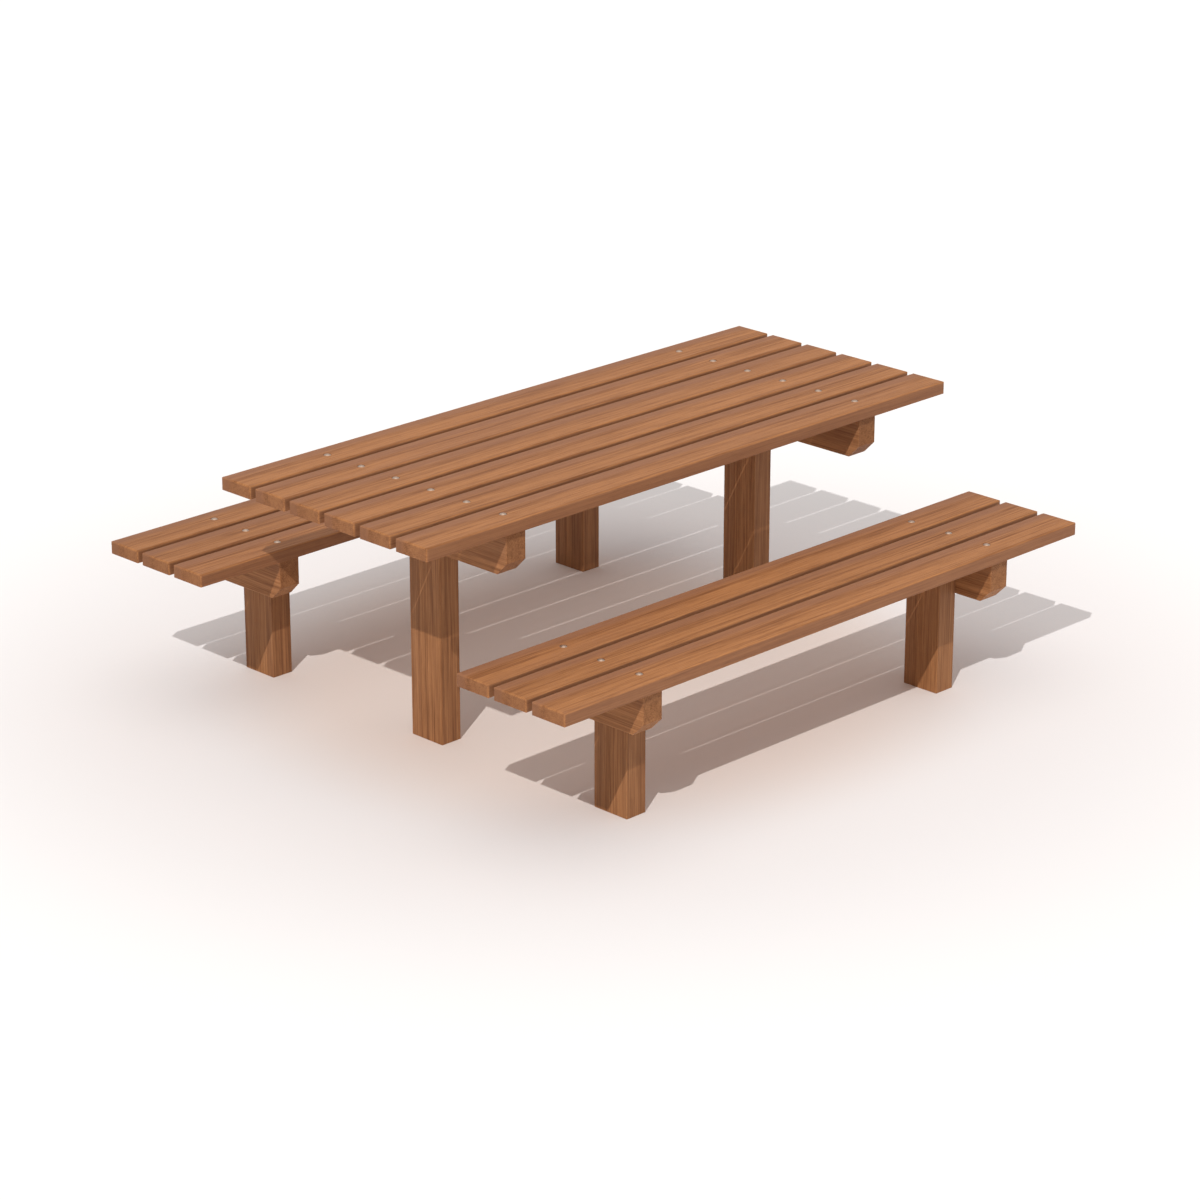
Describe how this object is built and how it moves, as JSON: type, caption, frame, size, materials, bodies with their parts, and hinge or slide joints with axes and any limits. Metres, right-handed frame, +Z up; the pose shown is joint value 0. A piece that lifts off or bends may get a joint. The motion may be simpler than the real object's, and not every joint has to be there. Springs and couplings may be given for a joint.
{
  "type": "picnic table",
  "caption": "Long slatted timber table with a separate matching bench on each side, each top bolted to crossbeams on square-cut posts.",
  "frame": {"origin": "on the ground, under the middle of the table", "axes": "+X along the planks to the right end, +Y from the front bench to the rear bench, +Z up"},
  "size_m": [2.038, 1.815, 0.7525],
  "materials": {
    "plank_wood": "oiled red-brown hardwood, satin, grain lengthways",
    "frame_wood": "oiled red-brown hardwood, satin, a little darker than the planks",
    "fastener_steel": "dull galvanised steel"
  },
  "bodies": {
    "root": {"table_plank_1": "plank_wood", "table_plank_2": "plank_wood", "table_plank_3": "plank_wood", "table_plank_4": "plank_wood", "table_plank_5": "plank_wood", "table_plank_6": "plank_wood", "table_beam_left": "frame_wood", "table_beam_right": "frame_wood", "table_post_left": "frame_wood", "table_post_right": "frame_wood", "table_plank_bolts": "fastener_steel", "table_plank_washers": "fastener_steel", "table_plank_nuts": "fastener_steel", "table_joint_bolts": "fastener_steel", "table_joint_washers": "fastener_steel", "table_joint_nuts": "fastener_steel", "front_bench_plank_1": "plank_wood", "front_bench_plank_2": "plank_wood", "front_bench_plank_3": "plank_wood", "front_bench_beam_left": "frame_wood", "front_bench_beam_right": "frame_wood", "front_bench_post_left": "frame_wood", "front_bench_post_right": "frame_wood", "front_bench_plank_bolts": "fastener_steel", "front_bench_plank_washers": "fastener_steel", "front_bench_plank_nuts": "fastener_steel", "front_bench_joint_bolts": "fastener_steel", "front_bench_joint_washers": "fastener_steel", "front_bench_joint_nuts": "fastener_steel", "rear_bench_plank_1": "plank_wood", "rear_bench_plank_2": "plank_wood", "rear_bench_plank_3": "plank_wood", "rear_bench_beam_left": "frame_wood", "rear_bench_beam_right": "frame_wood", "rear_bench_post_left": "frame_wood", "rear_bench_post_right": "frame_wood", "rear_bench_plank_bolts": "fastener_steel", "rear_bench_plank_washers": "fastener_steel", "rear_bench_plank_nuts": "fastener_steel", "rear_bench_joint_bolts": "fastener_steel", "rear_bench_joint_washers": "fastener_steel", "rear_bench_joint_nuts": "fastener_steel"}
  },
  "joints": []
}
